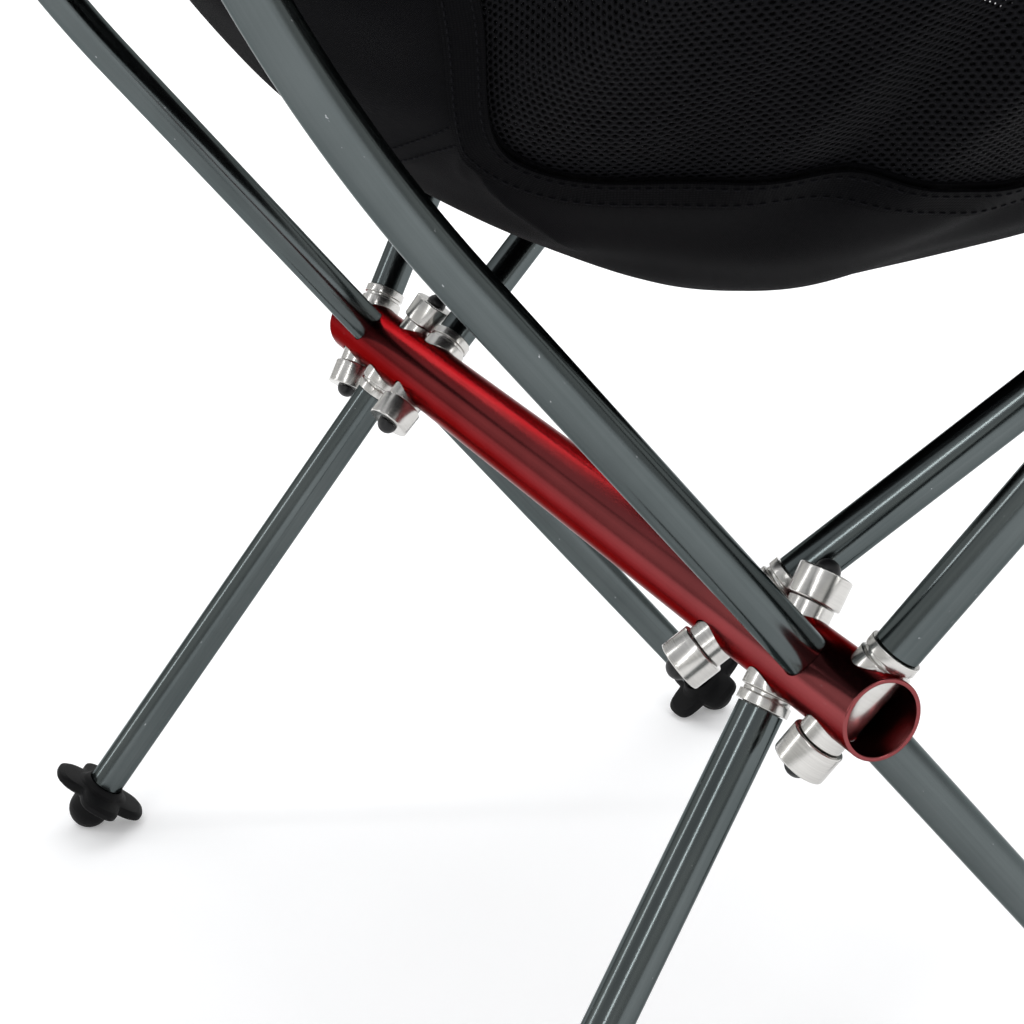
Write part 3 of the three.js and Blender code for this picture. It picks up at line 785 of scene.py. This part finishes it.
def sling_at(x, s, lift=0.0):
    """Points of the sling in metres; lift raises them towards the sitter, in millimetres."""
    x, s = np.broadcast_arrays(np.asarray(x, float), np.asarray(s, float))

    def plain(x, s):
        along = np.clip(s / LENGTH, 0, 1)
        y, z = (np.interp(along * LENGTH, LINE_AT, LINE[:, k]) for k in (0, 1))
        edge = edge_at(along)
        across = x / edge[..., 0]
        rise = np.abs(across) ** CROSS_POWER
        overrun = s - along * LENGTH
        point = np.stack([x, y + (edge[..., 1] - y) * rise, z + (edge[..., 2] - z) * rise], -1)
        return point, across, overrun

    point, across, overrun = plain(x, s)
    step = 0.8
    wide = plain(x + step, s)[0] - plain(x - step, s)[0]
    inside = np.clip(s, step, LENGTH - step)
    long = plain(x, inside + step)[0] - plain(x, inside - step)[0]
    normal = np.cross(wide, long)
    normal /= np.linalg.norm(normal, axis=-1, keepdims=True)
    long /= np.linalg.norm(long, axis=-1, keepdims=True)
    height = fold_height(x, s, across) - crease_height(x, s) + lift
    point = point + normal * height[..., None] + long * overrun[..., None]
    return (point + HUB_SHIFT) * MM, normal


def edge_x(s):
    return edge_at(np.clip(np.asarray(s, float) / LENGTH, 0, 1))[..., 0]


def seam_x(s):
    """Half width of the woven strip: it narrows where the seat turns up into the back."""
    place, before, after = WAIST
    away = np.asarray(s, float) / LENGTH - place
    spread = np.where(away < 0, before, after)
    return STRIP_HALF - WAIST_DEPTH * np.exp(-(away / spread) ** 2 / 2)


# ---------- cloth pieces ----------
def slab(name, x, s, lift, thickness):
    """Closed cloth slab over a grid of x and s; its unwrapped position follows the cloth's own length."""
    centre, normal = sling_at(x, s, lift)
    rows, cols = x.shape
    half = normal * (thickness / 2 * MM)
    verts = np.concatenate([(centre + half).reshape(-1, 3), (centre - half).reshape(-1, 3)])
    wide = np.linalg.norm(np.diff(centre, axis=1), axis=2)
    across = np.concatenate([np.zeros((rows, 1)), np.cumsum(wide, 1)], 1)
    middle = cols // 2
    across -= across[:, middle:middle + 1]
    along = running_length(centre[:, middle])[:, None] + np.zeros((rows, cols))
    flat = np.tile(np.stack([across, along], -1).reshape(-1, 2), (2, 1))
    lower = rows * cols
    grid = np.arange(lower).reshape(rows, cols)
    top = np.stack([grid[:-1, :-1], grid[:-1, 1:], grid[1:, 1:], grid[1:, :-1]], -1).reshape(-1, 4)
    under = top[:, ::-1] + lower
    border = [*grid[0, :], *grid[1:, -1], *grid[-1, -2::-1], *grid[-2:0:-1, 0]]
    rim = [(q, p, p + lower, q + lower) for p, q in zip(border, border[1:] + border[:1])]
    faces = [tuple(int(v) for v in f) for f in (*top, *under, *rim)]
    uvs = [tuple(flat[v]) for f in faces for v in f]
    return flipped_if_inside_out(make_object(name, verts, faces, uvs, sharp_deg=50))


def stretched(cloth, x, s):
    """Works out the sling's points over a cloth piece's grid of x and s, and leaves them unused."""
    points, _ = sling_at(x, s)


def between(low, high, s, columns):
    t = np.linspace(0, 1, columns)[None, :]
    low, high = np.broadcast_to(low, s.shape)[:, None], np.broadcast_to(high, s.shape)[:, None]
    return low + (high - low) * t, np.broadcast_to(s[:, None], (len(s), columns))


def shifted(x, s, by):
    """The line moved sideways by this much, and its s."""
    dx, ds = np.gradient(x), np.gradient(s)
    size = np.hypot(dx, ds)
    return x + by * (ds / size), s - by * (dx / size)


def ribbon(name, x, s, half, lift, thickness):
    """Tape laid along a line on the sling, half as wide to each side."""
    lines = [shifted(x, s, by) for by in np.linspace(-half, half, 7)]
    tape = slab(name, *(np.stack(part, 1) for part in zip(*lines)), lift, thickness)
    return place(tape, TAPE, "seat", "woven_fabric")


def stitch_row(x, s, lift):
    """Vertices and faces of one row of thread stitches that lie along a line on the sling."""
    pitch, length, radius, facets = 3.4, 2.4, 0.28, 6
    # Rings of one stitch: share of its length, height in millimetres, share of its radius.
    rings = ((0, -0.35, 0.45), (0.18, 0.0, 0.9), (0.5, 0.1, 1), (0.82, 0.0, 0.9), (1, -0.35, 0.45))
    last = len(rings) - 1
    one = ring_faces([(i, i + 1, 0, 0) for i in range(last)], facets, 0)[0]
    one += end_faces(((0, -1), (last, 1)), facets, 0)[0]
    points, normals = sling_at(x, s, lift)
    run = running_length(points) / MM
    verts, faces = [], []
    for k in range(int(run[-1] // pitch)):
        middles, ups = [], []
        for part, height, _ in rings:
            at = k * pitch + length * part
            point, up = (np.array([np.interp(at, run, rows[:, c]) for c in range(3)])
                         for rows in (points, normals))
            middles.append(point + np.sign(lift) * up * height * MM)
            ups.append(up)
        forward = middles[-1] - middles[0]
        forward /= np.linalg.norm(forward)
        faces += [tuple(len(verts) + v for v in f) for f in one]
        for point, up, (_, _, share) in zip(middles, ups, rings):
            side = np.cross(forward, up)
            for q in range(facets):
                angle = 2 * math.pi * q / facets
                ray = side * math.cos(angle) + up * math.sin(angle)
                verts.append(point + ray * radius * share * MM)
    return verts, faces


def stitches(name, rows):
    verts, faces = [], []
    for row_verts, row_faces in rows:
        faces += [tuple(v + len(verts) for v in f) for f in row_faces]
        verts += row_verts
    uvs = [(0.001 * v, 0.002 * v) for f in faces for v in f]
    return place(make_object(name, verts, faces, uvs), THREAD, "seat", "woven_fabric")


def binding(name, x, s, inward_x, inward_s):
    """Folded tape round a free edge: a flat oval run along the edge, closed at both ends."""
    set_in, half_width, half_height, facets = 4.2, 5.4, 1.5, 16
    edge, normal = sling_at(x, s)
    inner, _ = sling_at(x + inward_x, s + inward_s)
    towards = inner - edge
    towards /= np.linalg.norm(towards, axis=1, keepdims=True)
    run = running_length(edge)
    verts = []
    for point, up, inside in zip(edge, normal, towards):
        for k in range(facets):
            angle = 2 * math.pi * k / facets
            verts.append(point + inside * (set_in + half_width * math.cos(angle)) * MM
                         + up * half_height * math.sin(angle) * MM)
    last = len(edge) - 1
    faces, uvs = ring_faces([(i, i + 1, run[i], run[i + 1]) for i in range(last)], facets, 0.0015)
    end, end_uvs = end_faces(((0, -1), (last, 1)), facets, 0.001)
    obj = flipped_if_inside_out(make_object(name, verts, faces + end, uvs + end_uvs))
    return place(obj, TAPE, "seat", "woven_fabric")


def make_strip():
    split, overlap = SEAM_SHARE * LENGTH, 5
    for name, node, low, high, lift in (("seat_cloth", "seat_panel", 0, split + overlap, -0.9),
                                        ("back_cloth", "back_panel", split - overlap, LENGTH, -1.9)):
        s = np.linspace(low, high, 150)
        x, s = between(-seam_x(s) - 6, seam_x(s) + 6, s, 95)
        stretched(place(slab(name, x, s, lift, 0.7), CLOTH, "seat", "woven_fabric", node), x, s)
    across = np.linspace(-seam_x(split) - 2, seam_x(split) + 2, 60)
    rows = [stitch_row(across, np.full(60, split + shift), -2.45) for shift in (-2.8, 2.8)]
    stitches("stitches_seat_back", rows)


def make_wings():
    s = np.linspace(0, LENGTH, 260)
    corner = WING_SHARE * LENGTH
    for side, sign in SIDES:
        x, grid = between(sign * (seam_x(s) - 4), sign * edge_x(s), s, 46)
        wing = place(slab(f"mesh_{side}", x, grid, 0.0, 1.2), MESH, "seat", "air_mesh", f"wing_{side}")
        seam = sign * seam_x(s)
        pieces = [ribbon(f"seam_tape_{side}", seam, s, 5.5, -3.0, 0.8),
                  ribbon(f"seam_lining_{side}", seam, s, 5.0, 0.95, 0.6)]
        rows = [stitch_row(*shifted(seam, s, by), -3.5) for by in (-3.6, 3.6)]
        pieces.append(stitches(f"stitches_seam_{side}", rows))
        for name, at in (("front", np.linspace(0, corner, 40)), ("side", np.linspace(corner, LENGTH, 160))):
            pieces.append(binding(f"edge_{name}_{side}", sign * edge_x(at), at, -sign * 6.0, 0.0))
        stretched(wing, x, grid)
    for name, s_at, inward in (("edge_lip", 0.0, 6.0), ("edge_top", LENGTH, -6.0)):
        reach = float(edge_x(s_at))
        binding(name, np.linspace(-reach, reach, 120), np.full(120, s_at), 0.0, inward)


# ---------- corner pockets ----------
# Open end, closed end and sewn tab, from the pole's end.
POCKET_LOW, POCKET_TOP, POCKET_TAB = -36.0, 38.0, 40.5
# Half width, and reach away from the sitter and towards the sitter.
POCKET_HALF, POCKET_OUT, POCKET_IN = 12.6, 9.2, 17.4
POCKET_WALL = 0.8
POCKET_ROOM = 3.2               # the bent back pole's tip swings sideways when its lower joint pulls


def make_pocket(label, pole, joint, side):
    """Cloth sleeve over a pole's tip: deep towards the sling, sewn flat at its top, open below."""
    end, axis, inward = pole_tip(pole, joint, side)
    sideways = inward.cross(axis)
    facets = 64
    room = POCKET_ROOM if label == "back" else 0.0

    def ring_at(at, shrink):
        close = math.sqrt(max(0.0, 1 - max(0.0, (at - 29) / 9.2) ** 2)) if at < POCKET_TOP else 0.0
        half = POCKET_HALF + 0.7 * room - shrink - 1.2 * smooth_step(24, POCKET_TOP, at)
        deep = POCKET_IN - 8.0 * smooth_step(-8, 22, at)
        out = []
        for k in range(facets):
            angle = 2 * math.pi * k / facets
            c, q = math.cos(angle), math.sin(angle)
            reach = (deep if q > 0 else POCKET_OUT + room) - shrink
            pinch = 0.9 * (1 - shrink / 0.9) + close * (reach - 0.9)
            wave = 0.25 * math.sin(5 * angle + at / 6)
            out.append((end + axis * at + sideways * (half * math.copysign(abs(c) ** 0.8, c))
                        + inward * (pinch * math.copysign(abs(q) ** 0.85, q) + wave * close)) * MM)
        return out

    hem = ((0, 0.3), (0.6, -0.6), (5.6, -0.6), (6.2, 0.0))
    rows = [ring_at(POCKET_LOW + up, shrink) for up, shrink in hem]
    rows += [ring_at(at, 0.0) for at in (*np.linspace(-26, 29, 18), *np.linspace(30.5, POCKET_TOP - 0.4, 6),
                                         POCKET_TOP, POCKET_TAB - 0.5, POCKET_TAB)]
    turn = len(rows)
    rows += [ring_at(at, POCKET_WALL) for at in (34.0, 31.0, *np.linspace(29, POCKET_LOW, 16))]
    pairs = [(i, (i + 1) % len(rows), 0.003 * i, 0.003 * (i + 1)) for i in range(len(rows)) if i != turn - 1]
    faces, uvs = ring_faces(pairs, facets, 0.0012)
    end_caps, end_uvs = end_faces(((turn - 1, 1), (turn, -1)), facets, 0.01)
    verts = [v for row in rows for v in row]
    obj = flipped_if_inside_out(
        make_object(f"pocket_{label}_{side}", verts, faces + end_caps, uvs + end_uvs, sharp_deg=60))
    place(obj, CLOTH, "seat", "woven_fabric", f"{label}_pocket_{side}")


def make_corner_patches():
    """Woven patches that back the mesh where the pockets pull on it."""
    corner = WING_SHARE * LENGTH
    steps = np.linspace(-1, 1, 24)
    for side, sign in SIDES:
        for label, low, high, depth in (("front", 1.0, 38.0, 42.0), ("side", corner - 30, corner + 34, 40.0),
                                        ("back", LENGTH - 62, LENGTH - 1.0, 36.0)):
            s = np.linspace(low, high, 24)
            taper = 1 - 0.35 * np.abs(steps) ** 3
            x, grid = between(sign * (edge_x(s) - depth * taper), sign * (edge_x(s) - 0.5), s, 18)
            for face, lift in (("out", -0.85), ("in", 0.85)):
                patch = slab(f"patch_{label}_{face}_{side}", x, grid, lift, 0.6)
                place(patch, CLOTH, "seat", "woven_fabric")
                stretched(patch, x, grid)


make_strip()
make_wings()
for label_name, pole_name, joint_name in TIPS:
    for side_name, _ in SIDES:
        make_pocket(label_name, pole_name, joint_name, side_name)
make_corner_patches()


# ---------- stage, light and camera ----------
def make_stage():
    size = 30.0
    verts = [(-size, -size, 0), (size, -size, 0), (size, size, 0), (-size, size, 0)]
    floor = make_object("floor", verts, [[0, 1, 2, 3]], [(0, 0), (1, 0), (1, 1), (0, 1)], smooth=False)
    g = new_material("floor_paper")
    tint = g.ramp(g.noise(g.inside(), 3, 2), (0.3, (0.90, 0.90, 0.905)), (0.7, (0.93, 0.93, 0.935)))
    g.set(Base_Color=tint, Roughness=0.9, Specular_IOR_Level=0.1, Emission_Color=(1, 1, 1, 1),
          Emission_Strength=0.20)
    floor.data.materials.append(g.owner)


def soft_box(name, place_at, size, power):
    """Rectangular lamp that faces the chair's middle."""
    aim = Vector((0, 0, 0.2))
    data = bpy.data.lights.new(name, "AREA")
    data.shape = "RECTANGLE"
    data.size, data.size_y = size
    data.energy = power
    light = bpy.data.objects.new(name, data)
    light.location = place_at
    light.rotation_euler = (aim - Vector(place_at)).to_track_quat("-Z", "Y").to_euler()
    bpy.context.scene.collection.objects.link(light)


def make_lights():
    world = bpy.data.worlds.new("studio")
    bpy.context.scene.world = world
    g = Graph(world)
    height = g.node("SeparateXYZ", g.node("TexCoord").outputs["Generated"]).outputs["Z"]
    sky = g.ramp(height, (0.0, (0.30, 0.31, 0.31)), (0.22, (0.82, 0.82, 0.80)), (0.50, (0.50, 0.51, 0.52)),
                 (1.0, (0.95, 0.96, 0.98)))
    g.set(Color=sky, Strength=1.0)
    sun = bpy.data.lights.new("overhead", "SUN")
    sun.energy = 1.0
    sun.angle = math.radians(75)
    lamp = bpy.data.objects.new("overhead", sun)
    lamp.rotation_euler = (math.radians(10), math.radians(6), 0)
    lamp.visible_glossy = False
    bpy.context.scene.collection.objects.link(lamp)
    soft_box("strip_left", (-1.3, 1.5, 1.5), (0.16, 1.9), 9)
    soft_box("strip_right", (-1.9, -0.9, 1.3), (0.16, 1.9), 8)
    soft_box("strip_behind", (1.7, -0.8, 1.15), (1.8, 0.12), 6)
    soft_box("strip_side", (0.9, 1.9, 1.1), (0.18, 1.6), 6)


# Camera that was fitted to the photograph: its place from the hub's centre, and where it looks.
CAMERA_FROM_HUB, CAMERA_LOOKS, CAMERA_LENS = (-0.6322, 0.2961, 0.2602), (0.8530, -0.3755, -0.3625), 82.97


def make_camera():
    data = bpy.data.cameras.new("camera")
    data.sensor_width = 36
    data.lens = CAMERA_LENS
    data.clip_start, data.clip_end = 0.02, 100
    camera = bpy.data.objects.new("camera", data)
    camera.location = hub_centre + Vector(CAMERA_FROM_HUB)
    camera.rotation_euler = Vector(CAMERA_LOOKS).to_track_quat("-Z", "Y").to_euler()
    bpy.context.scene.collection.objects.link(camera)
    bpy.context.scene.camera = camera
    bpy.context.scene.view_settings.view_transform = "Standard"


make_stage()
make_lights()
make_camera()
